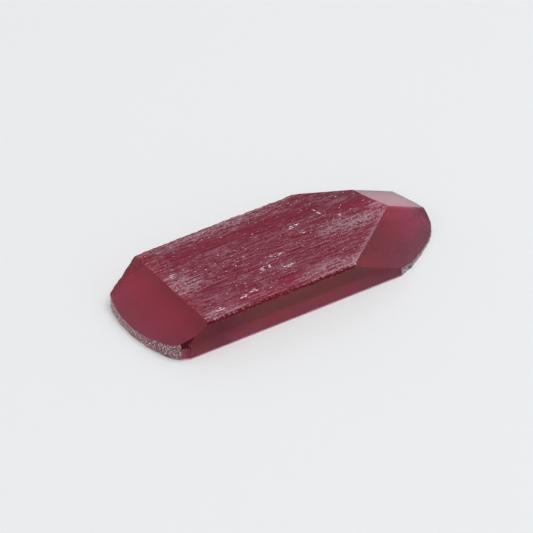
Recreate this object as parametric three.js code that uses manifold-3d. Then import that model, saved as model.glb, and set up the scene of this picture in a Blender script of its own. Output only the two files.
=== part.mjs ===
// A piece of rough red beryl: half of a flat, elongated crystal, lying on its flat parting face.
// The top is a growth surface of long broken ridges. The front is a sawn wall, both rounded ends
// and the back are a rough skin, and five smooth planes slope down from the top to that skin.
// Millimetres, +X along the stone, +Y to its back wall, +Z up, origin at the middle of the base.
import * as THREE from "three";
import { mergeVertices } from "three/addons/utils/BufferGeometryUtils.js";
import Module from "manifold-3d";

// Driving dimensions
const THICKNESS = 4.33; // mean height of the ridged top over the base
const FRONT_Y = -8.81; // the sawn front wall
const BACK_BOW = 0.15; // how far the back wall stands out between its two ends

// Plan of the stone, point by point: the right end from the front wall round to the back wall,
// and the left end from the back wall round to the front wall
const RIGHT_END = [
  [12.6, FRONT_Y],
  [14.8, -8.01],
  [19.2, -5.2],
  [21.2, -3.5],
  [22.4, -1.1],
  [22.3, 1.6],
  [21.55, 5.7],
  [19.1, 7.75],
  [16.4, 8.45],
  [13.6, 8.65],
];
const BACK_LEFT = [-16.26, 8.45]; // the back wall ends here, and a short flat turns in
const LEFT_END = [
  [-21.35, 6.3],
  [-21.8, 5.05],
  [-22.35, 2.4],
  [-22.5, -0.4],
  [-22.2, -3.45],
  [-21.35, -6.5],
  [-20.05, -8.45],
  [-19.1, FRONT_Y],
];

// Smooth planes: a point on each, the plan direction it faces and how steeply it falls, degrees
const PLANES = [
  { name: "left slope", at: [-16.26, 0, THICKNESS], facing: 180, dip: 26.6 },
  { name: "left front corner", at: [-18.41, FRONT_Y, 3.26], facing: 224, dip: 43.9 },
  { name: "right front slope", at: [9.99, -5.21, THICKNESS], facing: -52.5, dip: 35 },
  { name: "right end slope", at: [16.82, -0.53, THICKNESS], facing: 17.7, dip: 24.2 },
  { name: "right back slope", at: [15.24, 5.32, THICKNESS], facing: 64.3, dip: 42.7 },
];

// Growth ridges on the top
const RIDGE_PITCH = 0.4; // crest to crest, across the stone
const RIDGE_STEP = 1; // length of one straight piece of a ridge
const RIDGE_HEIGHT = 0.21; // a strong crest over its valley
const RIDGE_WANDER = 0.16; // how far a ridge strays sideways
const WANDER_LENGTH = 2.6; // along the stone, from one stray to the next
const VIGOUR_PATCH = { long: 3.1, wide: 1.1 }; // patches of strong and faint ridges
const SWELL_PATCH = { long: 7, wide: 3.2 }; // slow rise and fall of the whole top
const SWELL_HEIGHT = 0.07;
const TOP = { left: -17.2, right: 18.4, front: -9.3, back: 9.5 }; // reach of the ridges

// Chips along the top edge of the front wall
const CHIP_PITCH = 0.8;
const CHIP_DEPTH = 0.16;
const CHIP_REACH = 0.5; // how far a chip runs in from the wall

// Rough skin on the ends and the back wall
const SKIN_STEP = 0.58; // spacing of the skin's lumps
const SKIN_LEVEL = 0.5; // height of one course of lumps
const SKIN_DEPTH = 0.09;
const FLUTE_PITCH = 1.5; // broad flutes of the back wall
const FLUTE_DEPTH = 0.07;
const SPINE_REACH = 8; // half length of the middle line that the lumps point away from

const HEADROOM = 1; // material over the top, and air over that, before anything is cut
const CUTTER = { side: 60, depth: 12 }; // block that clears the stone above a smooth plane
const COLOUR = 0x7c2438;

// One number for each kind of noise, so that no two repeat each other
const SEED = { skin: 11, flute: 12, swell: 21, vigour: 22, grain: 23, wander: 24, chip: 31 };

const wasm = await Module();
wasm.setup();

// A repeatable value from 0 to 1 for each pair of whole numbers.
function hash(i, j, seed) {
  let h = Math.imul(i, 374761393) ^ Math.imul(j, 668265263) ^ Math.imul(seed + 1, 1442695041);
  h = Math.imul(h ^ (h >>> 13), 1274126177);
  return ((h ^ (h >>> 16)) >>> 0) / 2 ** 32;
}

// Smooth noise from -1 to 1 with about one lump to the unit.
function noise(x, y, seed) {
  const i = Math.floor(x);
  const j = Math.floor(y);
  const u = THREE.MathUtils.smoothstep(x - i, 0, 1);
  const v = THREE.MathUtils.smoothstep(y - j, 0, 1);
  const near = THREE.MathUtils.lerp(hash(i, j, seed), hash(i + 1, j, seed), u);
  const far = THREE.MathUtils.lerp(hash(i, j + 1, seed), hash(i + 1, j + 1, seed), u);
  return 2 * THREE.MathUtils.lerp(near, far, v) - 1;
}

// A closed geometry as a solid that can be cut and joined.
function solidFrom(geometry) {
  const bare = geometry.clone();
  bare.deleteAttribute("normal");
  bare.deleteAttribute("uv");
  const merged = mergeVertices(bare, 1e-4);
  return new wasm.Manifold(
    new wasm.Mesh({
      numProp: 3,
      vertProperties: merged.attributes.position.array,
      triVerts: new Uint32Array(merged.index.array),
    }),
  );
}

function geometryFrom(solid) {
  const mesh = solid.getMesh();
  const geometry = new THREE.BufferGeometry();
  geometry.setAttribute("position", new THREE.BufferAttribute(mesh.vertProperties, mesh.numProp));
  geometry.setIndex(new THREE.BufferAttribute(mesh.triVerts, 1));
  geometry.computeVertexNormals();
  return geometry;
}

// Moves every vertex of a geometry by a function of its place.
function reshape(geometry, move) {
  const position = geometry.attributes.position;
  const point = new THREE.Vector3();
  for (let i = 0; i < position.count; i += 1) {
    point.fromBufferAttribute(position, i);
    move(point);
    position.setXYZ(i, point.x, point.y, point.z);
  }
  return geometry;
}

// Points at an even spacing along a curve, without its last one.
function spaced(curve) {
  const count = Math.round(curve.getLength() / SKIN_STEP);
  return curve.getSpacedPoints(count).slice(0, -1);
}

// The plan of the stone, counter-clockwise from the right end of the front wall.
function outline() {
  const rightEnd = RIGHT_END.map(([x, y]) => new THREE.Vector2(x, y));
  const leftEnd = LEFT_END.map(([x, y]) => new THREE.Vector2(x, y));
  const backRight = rightEnd.at(-1);
  const backLeft = new THREE.Vector2(...BACK_LEFT);
  const bowed = backRight.clone().lerp(backLeft, 0.5).setY(backRight.y + 2 * BACK_BOW);
  const stretches = [
    new THREE.SplineCurve(rightEnd),
    new THREE.QuadraticBezierCurve(backRight, bowed, backLeft),
    new THREE.LineCurve(backLeft, leftEnd[0]),
    new THREE.SplineCurve(leftEnd),
  ];
  return [...stretches.flatMap(spaced), leftEnd.at(-1)];
}

// The upright block with its rough skin. The straight front wall stays as it was sawn.
function roughBlock() {
  const height = THICKNESS + HEADROOM;
  const block = new THREE.ExtrudeGeometry(new THREE.Shape(outline()), {
    depth: height,
    steps: Math.round(height / SKIN_LEVEL),
    bevelEnabled: false,
  });
  return reshape(block, (p) => {
    if (p.y < FRONT_Y + 0.01) return;
    const spineX = THREE.MathUtils.clamp(p.x, -SPINE_REACH, SPINE_REACH);
    const outward = new THREE.Vector2(p.x - spineX, p.y).normalize();
    const lump = SKIN_DEPTH * noise((p.x - p.y) / SKIN_STEP, p.z / SKIN_LEVEL, SEED.skin);
    const flute = FLUTE_DEPTH * outward.y * noise(p.x / FLUTE_PITCH, 0, SEED.flute);
    p.x += outward.x * (lump + flute);
    p.y += outward.y * (lump + flute);
  });
}

// Height of the growth surface, where even rows are valleys and odd rows are crests.
function topHeight(x, y, row) {
  const swell = SWELL_HEIGHT * noise(x / SWELL_PATCH.long, y / SWELL_PATCH.wide, SEED.swell);
  const vigour = 0.55 + 0.45 * noise(x / VIGOUR_PATCH.long, y / VIGOUR_PATCH.wide, SEED.vigour);
  const grain = 0.8 + 0.5 * noise(x / RIDGE_STEP, row, SEED.grain);
  const side = row % 2 ? 0.5 : -0.5;
  return THICKNESS + swell + side * RIDGE_HEIGHT * vigour * grain;
}

// How much a chip takes off the growth surface where it meets the sawn wall.
function chip(x, y) {
  const nearness = THREE.MathUtils.clamp(1 - (y - FRONT_Y) / CHIP_REACH, 0, 1);
  return CHIP_DEPTH * nearness * Math.max(0, noise(x / CHIP_PITCH, 0, SEED.chip));
}

// The air above the growth surface, which is cut away from the block.
function airAboveTop() {
  const long = TOP.right - TOP.left;
  const wide = TOP.back - TOP.front;
  const columns = Math.round(long / RIDGE_STEP);
  const rows = Math.round(wide / (RIDGE_PITCH / 2));
  const air = new THREE.BoxGeometry(long, wide, 2 * HEADROOM, columns, rows, 1);
  air.translate(TOP.left + long / 2, TOP.front + wide / 2, THICKNESS + HEADROOM);
  return reshape(air, (p) => {
    if (p.z > THICKNESS + HEADROOM) return;
    const row = Math.round((rows * (p.y - TOP.front)) / wide);
    const inside = Math.min(p.y - TOP.front, TOP.back - p.y, 1);
    p.z = topHeight(p.x, p.y, row) - chip(p.x, p.y);
    p.y += inside * RIDGE_WANDER * noise(p.x / WANDER_LENGTH, p.y / WANDER_LENGTH, SEED.wander);
  });
}

// The air above one smooth plane, as a large block standing on it.
function airAbovePlane({ at, facing, dip }) {
  const air = new THREE.BoxGeometry(CUTTER.side, CUTTER.side, CUTTER.depth);
  air.translate(0, 0, CUTTER.depth / 2);
  air.rotateY(THREE.MathUtils.degToRad(dip));
  air.rotateZ(THREE.MathUtils.degToRad(facing));
  return air.translate(...at);
}

function stone() {
  const cuts = [...PLANES.map(airAbovePlane), airAboveTop()];
  return cuts.reduce((solid, air) => solid.subtract(solidFrom(air)), solidFrom(roughBlock()));
}

const crystal = new THREE.Mesh(
  geometryFrom(stone()),
  new THREE.MeshStandardMaterial({ color: COLOUR, roughness: 0.3, metalness: 0 }),
);
crystal.name = "crystal";

const part = new THREE.Group();
part.add(crystal);
export default part;
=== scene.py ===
import math

import bpy
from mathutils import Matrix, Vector


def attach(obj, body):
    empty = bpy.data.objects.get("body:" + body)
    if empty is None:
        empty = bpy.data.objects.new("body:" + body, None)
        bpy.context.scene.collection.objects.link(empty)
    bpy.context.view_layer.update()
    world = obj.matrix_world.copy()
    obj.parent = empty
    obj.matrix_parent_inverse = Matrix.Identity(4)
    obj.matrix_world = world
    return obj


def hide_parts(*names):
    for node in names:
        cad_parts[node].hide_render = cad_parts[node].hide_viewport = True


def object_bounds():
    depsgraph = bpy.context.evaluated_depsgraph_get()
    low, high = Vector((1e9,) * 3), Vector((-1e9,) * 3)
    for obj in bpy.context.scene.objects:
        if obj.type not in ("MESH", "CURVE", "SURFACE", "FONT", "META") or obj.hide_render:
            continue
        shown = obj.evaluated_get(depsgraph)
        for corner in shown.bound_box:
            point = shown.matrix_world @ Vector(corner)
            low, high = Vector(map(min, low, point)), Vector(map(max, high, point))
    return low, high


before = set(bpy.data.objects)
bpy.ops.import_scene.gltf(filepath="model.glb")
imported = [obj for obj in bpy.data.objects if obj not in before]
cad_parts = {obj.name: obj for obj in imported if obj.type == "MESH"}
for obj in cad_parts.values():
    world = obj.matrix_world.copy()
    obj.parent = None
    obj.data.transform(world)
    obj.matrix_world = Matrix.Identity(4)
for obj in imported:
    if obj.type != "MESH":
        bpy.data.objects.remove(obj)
packed_low, packed_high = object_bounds()

# ---------------------------------------------------------------- sizes of the stone, millimetres
MM = 0.001  # metres in a millimetre
BOX_LOW = Vector(packed_low) / MM
BOX_HIGH = Vector(packed_high) / MM
THICKNESS = 4.33  # mean height of the ridged top over the base
FRONT_Y = -8.81  # the sawn front wall
SPARE = 1.0  # material round the stone before it is cut

# Plan of the stone, counter-clockwise from the right end of the sawn front wall
RIGHT_END = [
    (12.6, FRONT_Y), (14.8, -8.01), (17.1, -6.62), (19.2, -5.2), (20.4, -4.3), (21.2, -3.5),
    (21.95, -2.4), (22.35, -1.1), (22.4, 0.3), (22.3, 1.6), (22.0, 3.7), (21.55, 5.7),
    (20.5, 6.95), (19.1, 7.75), (16.4, 8.45), (13.6, 8.65),
]
BACK_WALL = [(-1.3, 8.78), (-16.26, 8.45)]
LEFT_END = [
    (-21.35, 6.3), (-21.8, 5.05), (-22.35, 2.4), (-22.5, -0.4), (-22.2, -3.45),
    (-21.35, -6.5), (-20.75, -7.6), (-20.05, -8.45), (-19.1, FRONT_Y),
]

# The finish of a face: as it grew, painted dark with shade on the wedge and chalky on the right back
# slope, sawn, or smooth under a breath of haze
GROWN, PAINTED_SHADE_AND_CHALK, SAWN, HAZED = 0, 0.3, 0.7, 1
# Where one finish ends and the next one starts: halfway between their numbers
GROWN_LIMITS = (0.2, 0.1)
SHADE_AND_CHALK_LIMITS = (0.5, 0.4)
HAZED_LIMITS = (0.8, 0.9)

# Smooth planes: a point on each, the plan direction it faces, how steeply it falls, its finish
SMOOTH_PLANES = [
    ((-16.26, 0, THICKNESS), 180, 26.6, HAZED),  # left slope
    # the wedge is covered with painted shade
    ((-18.41, FRONT_Y, 3.26), 245, 74, PAINTED_SHADE_AND_CHALK),  # wedge at the left end of the front wall
    ((-19.1, FRONT_Y + 0.05, 0), 249, 89, SAWN),  # upright bevel below the wedge
    ((9.99, -5.21, THICKNESS), -52.5, 35, HAZED),  # right front slope
    ((16.82, -0.53, THICKNESS), 17.7, 24.2, HAZED),  # right end slope
    ((15.24, 5.32, THICKNESS), 64.3, 42.7, PAINTED_SHADE_AND_CHALK),  # right back slope
    ((0, FRONT_Y, 0), -90, 90, SAWN),  # front wall
    ((0, 0, 0), 0, 180, GROWN),  # base
]

SKIN_CELL = 0.16  # mesh size of the rough skin
RIDGE_CELL = (0.12, 0.065)  # mesh size of the ridged top, along and across the ridges
RIDGES_LEFT = -17.4
RIDGES_RIGHT = 18.4
CHIP_REACH = 0.6  # how far the chips along the front wall run in from it

# Noises that are pressed into a surface: the size of one lump along X, Y and Z, the depth from
# valley to crest, where the noise is centred, and how much finer noise lies over it
FLUTES = {"size": (0.9, 9, 6), "depth": 0.3, "place": (3, 1, 2), "detail": 1}
LUMPS = {"size": (0.5, 0.5, 0.7), "depth": 0.14, "place": (5, 9, 4), "detail": 2}
GRAINS = {"size": (0.22, 0.22, 0.22), "depth": 0.07, "place": (2, 7, 1), "detail": 1}
SWELL = {"size": (7, 3.2, 5), "depth": 0.14, "place": (1, 2, 3), "detail": 1}
RIDGES = {"size": (4, 0.3, 5), "depth": -0.08, "place": (4, 1, 0), "detail": 0, "turn": -1}
THREADS = {"size": (1.6, 0.2, 5), "depth": -0.03, "place": (7, 3, 0), "detail": 1}
CHIPS = {"size": (0.28, 4, 5), "depth": 0.5, "place": (3, 5, 0), "detail": 1, "level": 0.8}

# ---------------------------------------------------------------- marks on the stone, millimetres
# Oval patches: the middle of each, X and Y, its half length and its half width
FROST = [
    (-14.5, 0, 3.2, 3.5), (3, -7.6, 6.5, 2.1), (-14, -7.8, 4.6, 1.9), (11, -0.5, 6.5, 2.2),
    (-5, 8.8, 15, 2.3), (15.4, 1.1, 1.5, 1),
]
CLEAR = [(2, 5, 8, 1.7), (-8, 5.2, 8, 1.3), (13, 3, 4, 1.3)]
# Spots where the painted glints gather: white highlights painted on the ridges
GLINT_SPOTS = [
    (3.9, 2.9, 1.8, 0.6), (4.3, 1, 1.1, 0.5), (10, 1.6, 0.9, 0.5),
    (-1.5, -1.2, 1.8, 0.45), (-4, -2.8, 1.3, 0.6), (-1.8, -4.1, 2, 0.6), (-8, -6, 1, 0.5),
    (-9.7, -6.5, 1.2, 0.5), (-13.4, -7.1, 1, 0.5), (-15, 2.1, 1.6, 0.5),
]
CRACK = [(9.15, 3.7, 0.16, 1.3)]  # its X is where it would cross Y = 0
CRACK_LEAN = 0.21  # how far the crack runs back along X for each step along Y
FLAWS = [
    (20.2, -1, 0.5, 0.5), (20.65, -1.5, 0.2, 1), (20.65, -2.5, 0.2, 0.9), (20.4, -3.5, 0.2, 0.9),
]
# a patch of painted light on the base, under the right end
BASE_LIGHT_PATCH = [(18.5, 3.2, 5, 3.2)]  # a pale patch of the base, under the right end

SLOPE_EDGE = [(5.65, FRONT_Y), (11.17, 8.27)]  # the right front slope's top edge: its start, its run
LIP = (-1.2, -0.1)  # the frost along that edge, from where it starts to where it is full
BRINK = (FRONT_Y - 0.2, FRONT_Y - 0.35)  # the clear strip along the front wall, before its notches
BRINK_NOTCH = 1.4  # how far the deepest notch widens that strip

# Patterns of the material: the size of one lump along X, Y and Z, and how much finer noise lies
# over it
DEEP = 1000  # so tall that a pattern is the same at any height
LINES = {"size": (5, 0.3, DEEP), "detail": 0}
DASHES = {"size": (1.1, 0.27, DEEP), "detail": 0}
DOTS = {"size": (0.35, 0.22, DEEP), "detail": 0}
CLOUDS = {"size": (2.5, 1.2, DEEP), "detail": 2}
FLECKS = {"size": (0.6, 0.14, DEEP), "detail": 1}
NOTCHES = {"size": (0.35, DEEP, DEEP), "detail": 1}
SPECKLES = {"size": (0.2, 0.2, 0.2), "detail": 2, "roughness": 0.6}
CRUMBS = {"size": (0.12, 0.12, 0.12), "detail": 2, "roughness": 0.6}

# Zones: along each axis, where a zone starts and where it is full
TOP = [("z", THICKNESS - 0.5, THICKNESS - 0.35)]
OVER_BASE = [("z", 0.02, 0.1)]
# the shaded skin behind the left slope, painted lighter to stand for light
BACK_SKIN = [("x", -12, -14), ("y", 5.8, 6.6), ("z", 4.1, 3)]  # behind the left slope
# painted shade on the base, under the right back slope
BACK_BASE = [("x", 11, 14), ("y", 6, 7)]  # under the right back slope
RIGHT_HALF = [("x", 0, 5)]  # tells the right back slope from the wedge at the left
RIGHT_WALL = [("x", 0, 8)]
LEFT_SHADE = [("x", -8, -15), ("z", 0.3, 2.6)]
RIGHT_SHADE = [("x", 6, 12), ("z", 0.3, 2.6)]
# the foot of the front wall, where a glow of light is painted
FOOT = [("z", 0.3, 0.06)]
BEVEL = [("x", -18.95, -19.05)]  # at the left end of the front wall
BEVEL_END = [("x", -19.2, -19.9)]
# the painted shadow of the wedge, on the top of the bevel
BEVEL_TOP = [("z", 1.4, 1.8)]
END_SLOPE = [("x", 14, 15), ("y", -0.6, 0)]

# ---------------------------------------------------------------- tones of the stone
# Colours of the powder over the glass, in linear light
RIDGE_RED = (0.22, 0.012, 0.035, 1)
# Pale streaks on the ridges: frost, with painted sheen of the lamp on the flanks of the ridges
RIDGE_FROST_AND_SHEEN = (0.42, 0.2, 0.26, 1)
THICK_FROST_AND_SHEEN = (0.52, 0.34, 0.39, 1)
# Painted glints on the ridges, and the real white crack among them
GLINT_WHITE = (0.95, 0.9, 0.92, 1)
BRINK_RED = (0.1, 0.001, 0.006, 1)
SKIN_GREY = (0.28, 0.21, 0.23, 1)
SKIN_SPECK = (0.86, 0.84, 0.84, 1)
# Painted light on the shaded skin behind the left slope
BACK_LIGHT_PINK = (0.62, 0.42, 0.47, 1)
# Painted shade: on the wedge at the left, and as its shadow on the bevel under it
SHADE_RED = (0.07, 0.001, 0.004, 1)
CHALK_RED = (0.15, 0.01, 0.025, 1)
CHALK_SPECK = (0.4, 0.2, 0.26, 1)
# The painted shade on the ends of the front wall, darker at the left and redder at the right
WALL_LEFT = (0.09, 0.014, 0.028, 1)
WALL_RIGHT = (0.19, 0.01, 0.028, 1)
BEVEL_RED = (0.22, 0.01, 0.035, 1)
SCUFF_PINK = (0.55, 0.35, 0.4, 1)
# Painted glow of the light that comes out of the stone at the foot of the front wall
FOOT_GLOW_PINK = (0.95, 0.42, 0.6, 1)
HAZE_RED = (0.28, 0.02, 0.05, 1)
END_PINK = (0.68, 0.24, 0.32, 1)
FLAW_RED = (0.08, 0.01, 0.02, 1)
BASE_MAUVE = (0.45, 0.38, 0.42, 1)
# Painted light on the base under the right end, and painted shade in the corner behind it
PAINTED_LIGHT_PALE = (0.88, 1, 1, 1)
BACK_SHADE_MAUVE = (0.25, 0.16, 0.2, 1)
# Tones of the base, each laid over the ones before it: painted light and shade for the lit table that
# shines up through it. The smooth planes show them from above.
BASE_LIGHT_AND_SHADE = [
    ([("x", 5, 12)], (0.42, 0.29, 0.34, 1)),
    ([("x", -15, -12), ("x", 13, 1), ("y", -3.2, -4.6)], (0.9, 0.78, 0.88, 1)),
    ([("x", -12.6, -14.6)], (0.78, 0.45, 0.5, 1)),
    ([("x", -12.6, -14.6), ("y", 3.5, 6.5)], (1, 0.62, 0.72, 1)),
    ([("x", -12.6, -14.6), ("y", -2, -6)], (0.54, 0.43, 0.39, 1)),
]

# How much of the glass the powder hides: on each kind of face, and what each mark adds to it
COVER = {
    "ridged": 0.55, "skin": 0.25, "base": 0.6, "shade_and_chalk": 0.95, "hazed": 0.22, "shade": 0.57,
    "bevel": 0.3, "painted_wedge_shadow": 0.6, "painted_foot_glow": 0.6, "flaw": 0.4, "painted_light_back_skin": 0.15, "painted_shade_back_base": 0.35,
}
GLINT_COVER = 0.4
BRINK_COVER = 0.35
SPECKLE_COVER = 0.3

# Pale streaks on the ridges, frost with painted sheen of the lamp on their flanks: the patterns make
# them, and the marks raise or lower them
LINE_STREAK, DASH_STREAK, DOT_STREAK = 0.4, 0.35, 0.25
FROST_STREAK, LIP_STREAK, CLEAR_STREAK = 0.085, 0.27, 0.12
CLOUD_STREAK, FROSTED_DOT_STREAK = 0.06, 0.3
NOISE_MEAN = 0.5

# Where a mark starts in its pattern, and where it is full
STREAK_LIMITS = (0.42, 0.74)
GLINT_LIMITS = (0.71, 0.76)
CRACK_LIMITS = (0.4, 0.55)
SPECKLE_LIMITS = (0.46, 0.64)

# How strong a mark is where it is full
GLINT_LIFT = 0.15
CRACK_SHARE = 0.8
CHALK_SHARE = 0.7
BACK_LIGHT_SHARE = 0.6
SCUFF_SHARE, SCUFF_SPECKLE = 0.15, 0.5

# The glass
REFRACTION = 1.57
REFLECTED = (0.7, 0.7, 0.7, 1)
POLISHED, SKIN_ROUGHNESS, RIDGE_ROUGHNESS = 0.03, 0.22, 0.12
POWDER_ROUGHNESS = 0.8
POWDER_SHINE = 0.15
BUMP_STRENGTH = 0.4
BUMP_DEPTH = 0.03  # millimetres
GLASS_RED = (0.93, 0.06, 0.46, 1)
ABSORPTION = 450  # for each metre

# ---------------------------------------------------------------- the studio, metres
AIR_GAP = 0.04 * MM  # between base and table, as if the stone lay on a few grains of dust
TABLE_WIDTH = 3.6
TABLE_PALE = (0.82, 0.825, 0.83, 1)
ROOM_PALE = (0.88, 0.89, 0.9, 1)
TABLE_FADE = (0.15, 0.7)  # how far out the table starts to fade into the room, and has faded
# Brightness of the room from the height of the eye, 0, to straight overhead, 1
ROOM_STOPS = [
    (0, ROOM_PALE), (0.1, (0.86, 0.87, 0.88, 1)), (0.3, (0.65, 0.66, 0.67, 1)),
    (0.44, (0.53, 0.54, 0.55, 1)), (0.58, (0.61, 0.62, 0.63, 1)), (0.68, (0.6, 0.61, 0.62, 1)),
    (0.8, (0.1, 0.1, 0.11, 1)),
]
LAMP_PLACE = (0.1, -0.12, 0.9)
LAMP_SIZE = 0.8
LAMP_RADIANCE = 3.3
LOOKS_AT = (-0.00038, 0.00242, 0)
CAMERA_AZIMUTH = -33.72
CAMERA_ELEVATION = 35.38
CAMERA_DISTANCE = 0.4513
CAMERA_LENS = 239.4  # millimetres
FILM_WIDTH = 36  # millimetres
NEAREST_SEEN = 0.01
BOUNCES = {
    "max_bounces": 24, "transmission_bounces": 24, "glossy_bounces": 16, "diffuse_bounces": 6,
}


# ---------------------------------------------------------------- workshop
def deselect():
    if bpy.context.object and bpy.context.object.mode != "OBJECT":
        bpy.ops.object.mode_set(mode="OBJECT")
    bpy.ops.object.select_all(action="DESELECT")


def take(piece):
    """Makes a piece the only selected and active object."""
    deselect()
    piece.select_set(True)
    bpy.context.view_layer.objects.active = piece


def apply_modifiers(piece):
    take(piece)
    for modifier in list(piece.modifiers):
        bpy.ops.object.modifier_apply(modifier=modifier.name)


def apply_place(piece):
    take(piece)
    bpy.ops.object.transform_apply(location=True, rotation=True, scale=True)


def saw(piece, point, normal):
    """Takes off all that lies outside a plane, and closes the cut with one flat face."""
    take(piece)
    bpy.ops.object.mode_set(mode="EDIT")
    bpy.ops.mesh.select_all(action="SELECT")
    bpy.ops.mesh.bisect(
        plane_co=point, plane_no=Vector(normal).normalized(), clear_outer=True, use_fill=True
    )
    bpy.ops.mesh.mark_sharp()
    bpy.ops.object.mode_set(mode="OBJECT")


def outward(azimuth, elevation):
    """A direction from its plan angle, counter-clockwise from +X, and its height, in degrees."""
    a, e = math.radians(azimuth), math.radians(elevation)
    return Vector((math.cos(e) * math.cos(a), math.cos(e) * math.sin(a), math.sin(e)))


def grain_empty(size, place, turn):
    """An empty as large as one lump of a noise, so that the noise can be stretched and turned."""
    deselect()
    bpy.ops.object.empty_add(location=place, rotation=(0, 0, math.radians(turn)))
    empty = bpy.context.object
    empty.scale = size
    bpy.context.view_layer.update()
    return empty


def relief(piece, size, depth, place, detail, direction="Z", turn=0, group="", level=0.5):
    """Presses a cloudy noise into a piece, with lumps of a size and a depth from valley to crest.

    A depth below 0 turns the noise over. The level is the share of the depth that lies under the
    old surface.
    """
    grain = bpy.data.textures.new("grain", "CLOUDS")
    grain.noise_scale = 1
    grain.noise_depth = detail
    empty = grain_empty(size, place, turn)
    press = piece.modifiers.new("relief", "DISPLACE")
    press.texture = grain
    press.texture_coords = "OBJECT"
    press.texture_coords_object = empty
    press.direction = direction
    press.strength = depth
    press.vertex_group = group
    press.mid_level = level
    take(piece)
    bpy.ops.object.modifier_apply(modifier=press.name)
    bpy.data.objects.remove(empty)


# ---------------------------------------------------------------- shader maths
class Value:
    """A shader socket that takes part in sums. Each operator adds its Math node."""

    def __init__(self, bench, socket):
        self.bench = bench
        self.socket = socket

    def maths(self, operation, *others):
        return self.bench.maths(operation, self, *others)

    def __add__(self, other):
        return self.maths("ADD", other)

    def __radd__(self, other):
        return self.maths("ADD", other)

    def __sub__(self, other):
        return self.maths("SUBTRACT", other)

    def __rsub__(self, other):
        return self.bench.maths("SUBTRACT", other, self)

    def __mul__(self, other):
        return self.maths("MULTIPLY", other)

    def __rmul__(self, other):
        return self.maths("MULTIPLY", other)

    def __truediv__(self, other):
        return self.maths("DIVIDE", other)


class Bench:
    """The node tree of one material or of the world, with one way to add a node."""

    def __init__(self, owner):
        owner.use_nodes = True
        self.tree = owner.node_tree
        self.tree.nodes.clear()

    def node(self, kind, settings=None, sockets=None, output=0):
        made = self.tree.nodes.new("ShaderNode" + kind)
        for key, value in (settings or {}).items():
            if key == "stops":
                self.set_stops(made.color_ramp, value)
            else:
                setattr(made, key, value)
        for key, value in (sockets or {}).items():
            if isinstance(value, Value):
                self.tree.links.new(value.socket, made.inputs[key])
            else:
                made.inputs[key].default_value = value
        return Value(self, made.outputs[output]) if made.outputs else None

    def set_stops(self, ramp, stops):
        while len(ramp.elements) < len(stops):
            ramp.elements.new(1)
        for element, (position, colour) in zip(ramp.elements, stops):
            element.position = position
            element.color = colour

    def maths(self, operation, *values):
        return self.node("Math", {"operation": operation}, dict(enumerate(values)))

    def between(self, value, low, high):
        """0 at one number, 1 at the other and smooth between them. The second may be the lower."""
        return self.node(
            "MapRange",
            {"interpolation_type": "SMOOTHSTEP"},
            {"Value": value, "From Min": low, "From Max": high},
        )

    def mixed(self, share, first, second):
        """One colour over another, by the second one's share. A Mix node's colours are 6 and 7."""
        return self.node("Mix", {"data_type": "RGBA"}, {0: share, 6: first, 7: second}, 2)


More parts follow.
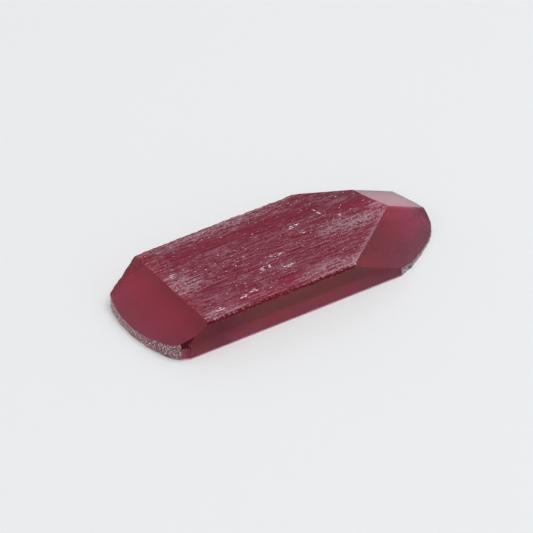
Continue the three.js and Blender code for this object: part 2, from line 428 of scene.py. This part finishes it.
class Marks:
    """The place of a point on the stone in millimetres, and how much of each kind of face and of
    each mark it has, from 0 to 1."""

    def __init__(self, bench):
        self.bench = bench
        self.place = bench.node("TexCoord", output="Object")
        self.x = self.along("X")
        self.y = self.along("Y")
        self.z = self.along("Z")
        self.speckle = bench.between(self.noise(**SPECKLES), *SPECKLE_LIMITS)
        self.sort_faces()
        self.mark_ridges()
        self.mark_brink()
        self.mark_front_wall()
        self.flaw = self.patches(FLAWS) * self.hazed
        self.end_slope = self.zone(END_SLOPE) * self.hazed
        self.painted_light_back_skin = self.zone(BACK_SKIN) * self.skin
        self.painted_shade_back_base = self.zone(BACK_BASE) * self.base

    def along(self, axis):
        return self.bench.node("SeparateXYZ", None, {"Vector": self.place}, output=axis) / MM

    def zone(self, ramps):
        """1 where a zone is full along every axis, and 0 where it hasn't started along one."""
        return math.prod(
            self.bench.between(getattr(self, axis), start, full) for axis, start, full in ramps
        )

    def patches(self, spots, lean=0):
        """1 in the middle of the nearest of some oval patches, and 0 outside them all."""
        leaning_x = self.x + self.y * lean if lean else self.x
        nearest = 1
        for x, y, half_long, half_wide in spots:
            long = (leaning_x - x) / half_long
            wide = (self.y - y) / half_wide
            nearest = (long * long + wide * wide).maths("MINIMUM", nearest)
        return self.bench.between(nearest, 1, 0)

    def right_of(self, start, run):
        """How far a point lies to the right of a line, for an eye that looks along its run."""
        across = (self.x - start[0]) * run[1] - (self.y - start[1]) * run[0]
        return across / math.hypot(*run)

    def noise(self, size, detail, roughness=0.5):
        """A solid noise from 0 to 1, with lumps of a size in millimetres along X, Y and Z."""
        stretched = self.bench.node(
            "Mapping",
            {"vector_type": "POINT"},
            {"Vector": self.place, "Scale": [1 / (lump * MM) for lump in size]},
        )
        return self.bench.node(
            "TexNoise",
            None,
            {"Vector": stretched, "Scale": 1, "Detail": detail, "Roughness": roughness},
        )

    def sort_faces(self):
        """The kinds of face, told by their finish, and the grown ones also by their height."""
        finish = self.bench.node("Attribute", {"attribute_name": "finish"}, output="Fac")
        self.grown = self.bench.between(finish, *GROWN_LIMITS)
        self.shade_and_chalk = self.bench.between(finish, *SHADE_AND_CHALK_LIMITS) - self.grown
        self.hazed = self.bench.between(finish, *HAZED_LIMITS)
        self.sawn = 1 - self.grown - self.shade_and_chalk - self.hazed
        self.ridged = self.zone(TOP) * self.grown
        self.base = self.grown - self.zone(OVER_BASE) * self.grown
        self.skin = self.grown - self.ridged - self.base

    def mark_ridges(self):
        """Frost, pale streaks of frost and painted sheen along the ridges, and painted glints and a
        crack among them.
        """
        lines = self.noise(**LINES)
        dashes = self.noise(**DASHES)
        dots = self.noise(**DOTS)
        cloud = self.noise(**CLOUDS)
        self.ridge_grain = (lines + dashes) / 2
        self.frost = self.patches(FROST)
        lip = self.bench.between(self.right_of(*SLOPE_EDGE), *LIP)
        streak_score = lines * LINE_STREAK + dashes * DASH_STREAK + dots * DOT_STREAK
        streak_score = streak_score + self.frost * FROST_STREAK + lip * LIP_STREAK - self.patches(CLEAR) * CLEAR_STREAK
        streak_score = streak_score + (cloud - NOISE_MEAN) * CLOUD_STREAK
        streak_score = streak_score + (dots - NOISE_MEAN) * self.frost * FROSTED_DOT_STREAK
        # pale streaks of frost and painted sheen
        self.frost_and_sheen_streak = self.bench.between(streak_score, *STREAK_LIMITS)
        flecks = self.noise(**FLECKS) + self.patches(GLINT_SPOTS) * GLINT_LIFT
        painted_glint = self.bench.between(flecks, *GLINT_LIMITS)
        # the crack is real, and takes the white of the painted glints
        crack = self.patches(CRACK, CRACK_LEAN) * self.bench.between(dashes, *CRACK_LIMITS)
        self.painted_glint = painted_glint.maths("MAXIMUM", crack * CRACK_SHARE)

    def mark_brink(self):
        """The notched strip of clear glass where the top breaks off at the front wall."""
        notched = self.y - self.noise(**NOTCHES) * BRINK_NOTCH
        self.brink = self.bench.between(notched, *BRINK) * (1 - self.hazed)

    def mark_front_wall(self):
        """Its ends with painted shade and its foot with a painted glow, and the scuffed bevel with
        the painted shadow of the wedge at the left.
        """
        self.shade = (self.zone(LEFT_SHADE) + self.zone(RIGHT_SHADE)) * self.sawn
        self.painted_foot_glow = self.zone(FOOT) * self.sawn
        self.bevel = self.zone(BEVEL) * self.sawn
        scuffed = SCUFF_SHARE + self.speckle * SCUFF_SPECKLE
        self.scuff = self.zone(BEVEL_END) * self.bevel * scuffed
        self.painted_wedge_shadow = self.zone(BEVEL_TOP) * self.bevel


# ---------------------------------------------------------------- the stone
def sawn_blank():
    """A block sawn to the plan. It stands over the top and under the base."""
    deselect()
    bpy.ops.mesh.primitive_cube_add(size=1, location=(0, 0, THICKNESS / 2))
    blank = bpy.context.object
    blank.name = "beryl_crystal"
    box = BOX_HIGH - BOX_LOW
    blank.scale = (box.x + 2 * SPARE, box.y + 2 * SPARE, THICKNESS + 2 * SPARE)
    apply_place(blank)
    plan = RIGHT_END + BACK_WALL + LEFT_END
    for (x0, y0), (x1, y1) in zip(plan, plan[1:]):
        saw(blank, (x0, y0, 0), (y1 - y0, x0 - x1, 0))
    return blank


def grow_skin(blank):
    """Gives the blank an even mesh and the flutes, lumps and grains of a grown skin."""
    even = blank.modifiers.new("even", "REMESH")
    even.mode = "VOXEL"
    even.voxel_size = SKIN_CELL
    apply_modifiers(blank)
    relief(blank, **FLUTES, direction="Y")
    relief(blank, **LUMPS, direction="NORMAL")
    relief(blank, **GRAINS, direction="NORMAL")


def ridged_sheet():
    """A fine sheet pressed into long ridges, with chips along the front wall."""
    deselect()
    long = RIDGES_RIGHT - RIDGES_LEFT
    wide = BOX_HIGH.y - BOX_LOW.y + SPARE
    bpy.ops.mesh.primitive_grid_add(
        x_subdivisions=round(long / RIDGE_CELL[0]),
        y_subdivisions=round(wide / RIDGE_CELL[1]),
        size=1,
        location=((RIDGES_LEFT + RIDGES_RIGHT) / 2, (BOX_LOW.y + BOX_HIGH.y) / 2, THICKNESS),
    )
    sheet = bpy.context.object
    sheet.scale = (long, wide, 1)
    apply_place(sheet)
    for noise in (SWELL, RIDGES, THREADS):
        relief(sheet, **noise)
    brink = sheet.vertex_groups.new(name="brink")
    for point in sheet.data.vertices:
        nearness = 1 - (point.co.y - FRONT_Y) / CHIP_REACH
        if 0 < nearness:
            brink.add([point.index], min(nearness, 1), "REPLACE")
    relief(sheet, **CHIPS, group=brink.name)
    return sheet


def air_over_ridges():
    """The air over the growth surface: the ridged sheet, closed by walls and a flat lid."""
    air = ridged_sheet()
    take(air)
    bpy.ops.object.mode_set(mode="EDIT")
    bpy.ops.mesh.select_mode(type="EDGE")
    bpy.ops.mesh.select_all(action="DESELECT")
    bpy.ops.mesh.select_non_manifold()
    bpy.ops.mesh.extrude_region_move(TRANSFORM_OT_translate={"value": (0, 0, 2 * SPARE)})
    bpy.ops.transform.resize(value=(1, 1, 0))
    bpy.ops.mesh.extrude_region_move()
    bpy.ops.mesh.merge(type="CENTER")
    bpy.ops.mesh.select_all(action="SELECT")
    bpy.ops.mesh.normals_make_consistent(inside=False)
    bpy.ops.object.mode_set(mode="OBJECT")
    return air


def cut_ridges(stone):
    air = air_over_ridges()
    cut = stone.modifiers.new("growth", "BOOLEAN")
    cut.operation = "DIFFERENCE"
    cut.solver = "MANIFOLD"
    cut.object = air
    apply_modifiers(stone)
    bpy.data.objects.remove(air)


def cut_smooth_planes(stone):
    """Saws every flat face, and writes its finish on it."""
    stone.data.attributes.new("finish", "FLOAT", "FACE")
    for point, facing, dip, finish in SMOOTH_PLANES:
        saw(stone, point, outward(facing, 90 - dip))
        finishes = stone.data.attributes["finish"].data
        for face in stone.data.polygons:
            if face.select:
                finishes[face.index].value = finish


def carve_stone():
    """The rough block, its ridged top, and then the flat faces, all turned into metres."""
    stone = sawn_blank()
    grow_skin(stone)
    cut_ridges(stone)
    cut_smooth_planes(stone)
    take(stone)
    # every face is smooth, and only its sharp edges keep a plane flat: Cycles would let the red
    # of the glass leak out of a stone whose faces are smooth in part
    bpy.ops.object.shade_smooth(keep_sharp_edges=True)
    bpy.ops.transform.resize(value=(MM, MM, MM), center_override=(0, 0, 0))
    apply_place(stone)
    return stone


# ---------------------------------------------------------------- the finish of the stone
def ridge_colour(marks):
    """Red glass showing between pale streaks of frost and painted sheen, painted white glints and a
    white crack, and the dark red brink.
    """
    mixed = marks.bench.mixed
    frost = mixed(marks.frost, RIDGE_FROST_AND_SHEEN, THICK_FROST_AND_SHEEN)
    colour = mixed(marks.frost_and_sheen_streak, RIDGE_RED, frost)
    colour = mixed(marks.painted_glint, colour, GLINT_WHITE)
    return mixed(marks.brink, colour, BRINK_RED)


def base_colour(marks):
    """The tones of the base: painted light and shade, a patch of painted light at its right and
    painted shade in the corner behind that.
    """
    mixed = marks.bench.mixed
    colour = BASE_MAUVE
    for zone, tone in BASE_LIGHT_AND_SHADE:
        colour = mixed(marks.zone(zone), colour, tone)
    colour = mixed(marks.patches(BASE_LIGHT_PATCH), colour, PAINTED_LIGHT_PALE)
    return mixed(marks.painted_shade_back_base, colour, BACK_SHADE_MAUVE)


def shade_and_chalk_colour(marks):
    """Painted shade in deep red on the wedge at the left, and chalky red on the right back slope."""
    mixed = marks.bench.mixed
    chalk = mixed(marks.speckle * CHALK_SHARE, CHALK_RED, CHALK_SPECK)
    return mixed(marks.zone(RIGHT_HALF), SHADE_RED, chalk)


def front_wall_colour(marks):
    """Two reds of painted shade from left to right, the bevel with its scuffs and the painted shadow
    of the wedge, and the painted glow along the foot.
    """
    mixed = marks.bench.mixed
    colour = mixed(marks.zone(RIGHT_WALL), WALL_LEFT, WALL_RIGHT)
    colour = mixed(marks.bevel, colour, BEVEL_RED)
    colour = mixed(marks.scuff, colour, SCUFF_PINK)
    colour = mixed(marks.painted_wedge_shadow, colour, SHADE_RED)
    return mixed(marks.painted_foot_glow, colour, FOOT_GLOW_PINK)


def slope_colour(marks):
    """A red haze, pinker on the right end slope, and the dark flaws."""
    mixed = marks.bench.mixed
    colour = mixed(marks.end_slope, HAZE_RED, END_PINK)
    return mixed(marks.flaw, colour, FLAW_RED)


def powder_colour(marks):
    """The grey skin first, and over it the colour of each other kind of face."""
    mixed = marks.bench.mixed
    colour = mixed(marks.speckle * marks.skin, SKIN_GREY, SKIN_SPECK)
    colour = mixed(marks.base, colour, base_colour(marks))
    colour = mixed(marks.ridged, colour, ridge_colour(marks))
    # painted light on the shaded skin behind the left slope
    colour = mixed(marks.painted_light_back_skin * BACK_LIGHT_SHARE, colour, BACK_LIGHT_PINK)
    colour = mixed(marks.shade_and_chalk, colour, shade_and_chalk_colour(marks))
    colour = mixed(marks.sawn, colour, front_wall_colour(marks))
    return mixed(marks.hazed, colour, slope_colour(marks))


def powder_cover(marks):
    """How much of the glass the powder hides at a point."""
    cover = sum(getattr(marks, name) * share for name, share in COVER.items())
    cover = cover + marks.ridged * (marks.painted_glint * GLINT_COVER + marks.brink * BRINK_COVER)
    return cover + marks.skin * marks.speckle * SPECKLE_COVER


def beryl():
    """Clear red glass with polished planes, pale streaks on the ridges and a powdery skin."""
    material = bpy.data.materials.new("beryl")
    bench = Bench(material)
    marks = Marks(bench)
    texture = marks.noise(**CRUMBS) * marks.skin + marks.ridge_grain * marks.ridged
    bump = bench.node(
        "Bump", None, {"Strength": BUMP_STRENGTH, "Distance": BUMP_DEPTH * MM, "Height": texture}
    )
    rough_skin = (marks.grown - marks.ridged) * SKIN_ROUGHNESS
    glass = bench.node(
        "BsdfPrincipled",
        {"distribution": "MULTI_GGX"},
        {"Base Color": (1, 1, 1, 1),
         "Roughness": POLISHED + rough_skin + marks.ridged * RIDGE_ROUGHNESS,
         "IOR": REFRACTION, "Specular Tint": REFLECTED, "Transmission Weight": 1, "Normal": bump},
    )
    powder = bench.node(
        "BsdfPrincipled",
        None,
        {"Base Color": powder_colour(marks), "Roughness": POWDER_ROUGHNESS,
         "Specular IOR Level": POWDER_SHINE, "Coat Weight": marks.hazed, "Coat Roughness": POLISHED,
         "Coat IOR": REFRACTION, "Normal": bump},
    )
    surface = bench.node("MixShader", None, {0: powder_cover(marks), 1: glass, 2: powder})
    red = bench.node("VolumeAbsorption", None, {"Color": GLASS_RED, "Density": ABSORPTION})
    bench.node("OutputMaterial", None, {"Surface": surface, "Volume": red})
    return material


# ---------------------------------------------------------------- the studio
def table_paint():
    """Pale paint near the stone, which fades into the light of the room."""
    material = bpy.data.materials.new("table_paint")
    bench = Bench(material)
    paint = bench.node("BsdfDiffuse", None, {"Color": TABLE_PALE})
    haze = bench.node("Emission", None, {"Color": ROOM_PALE, "Strength": 1})
    place = bench.node("TexCoord", output="Object")
    away = bench.node("VectorMath", {"operation": "LENGTH"}, {0: place}, "Value")
    surface = bench.node("MixShader", None, {0: bench.between(away, *TABLE_FADE), 1: paint, 2: haze})
    bench.node("OutputMaterial", None, {"Surface": surface})
    return material


def table():
    deselect()
    bpy.ops.mesh.primitive_plane_add(size=TABLE_WIDTH, location=(0, 0, -AIR_GAP))
    top = bpy.context.object
    top.name = "table"
    top.data.materials.append(table_paint())


def sky():
    """A pale room, bright at the height of the eye and dim overhead, round the softbox."""
    room = bpy.data.worlds.new("room")
    bpy.context.scene.world = room
    bench = Bench(room)
    direction = bench.node("TexCoord", output="Generated")
    height = bench.node("SeparateXYZ", None, {"Vector": direction}, output="Z")
    pale = bench.node("ValToRGB", {"stops": ROOM_STOPS}, {"Fac": height})
    glow = bench.node("Background", None, {"Color": pale, "Strength": 1})
    bench.node("OutputWorld", None, {"Surface": glow})


def softbox():
    """A square lamp that faces the stone. Its energy follows its size, so its face keeps its look."""
    deselect()
    bpy.ops.object.light_add(type="AREA", location=LAMP_PLACE)
    lamp = bpy.context.object
    lamp.name = "softbox"
    lamp.data.shape = "SQUARE"
    lamp.data.size = LAMP_SIZE
    lamp.data.energy = LAMP_RADIANCE * math.pi * LAMP_SIZE * LAMP_SIZE
    lamp.rotation_euler = Vector(LAMP_PLACE).to_track_quat("Z", "Y").to_euler()


def camera():
    deselect()
    away = outward(CAMERA_AZIMUTH - 90, CAMERA_ELEVATION)
    bpy.ops.object.camera_add(location=Vector(LOOKS_AT) + away * CAMERA_DISTANCE)
    eye = bpy.context.object
    eye.rotation_euler = away.to_track_quat("Z", "Y").to_euler()
    eye.data.lens = CAMERA_LENS
    eye.data.sensor_width = FILM_WIDTH
    eye.data.clip_start = NEAREST_SEEN
    bpy.context.scene.camera = eye


def look_of_picture():
    """Plain colours, light that finds its way through the stone, and no smoothing of its speckles."""
    scene = bpy.context.scene
    scene.view_settings.view_transform = "Standard"
    for kind, count in BOUNCES.items():
        setattr(scene.cycles, kind, count)
    scene.cycles.blur_glossy = 0
    scene.cycles.denoising_prefilter = "NONE"
    scene.cycles.sampling_pattern = "TABULATED_SOBOL"


camera()
stone = carve_stone()
stone.data.materials.clear()
stone.data.materials.append(beryl())
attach(stone, "root")
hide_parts("crystal")
table()
sky()
softbox()
look_of_picture()
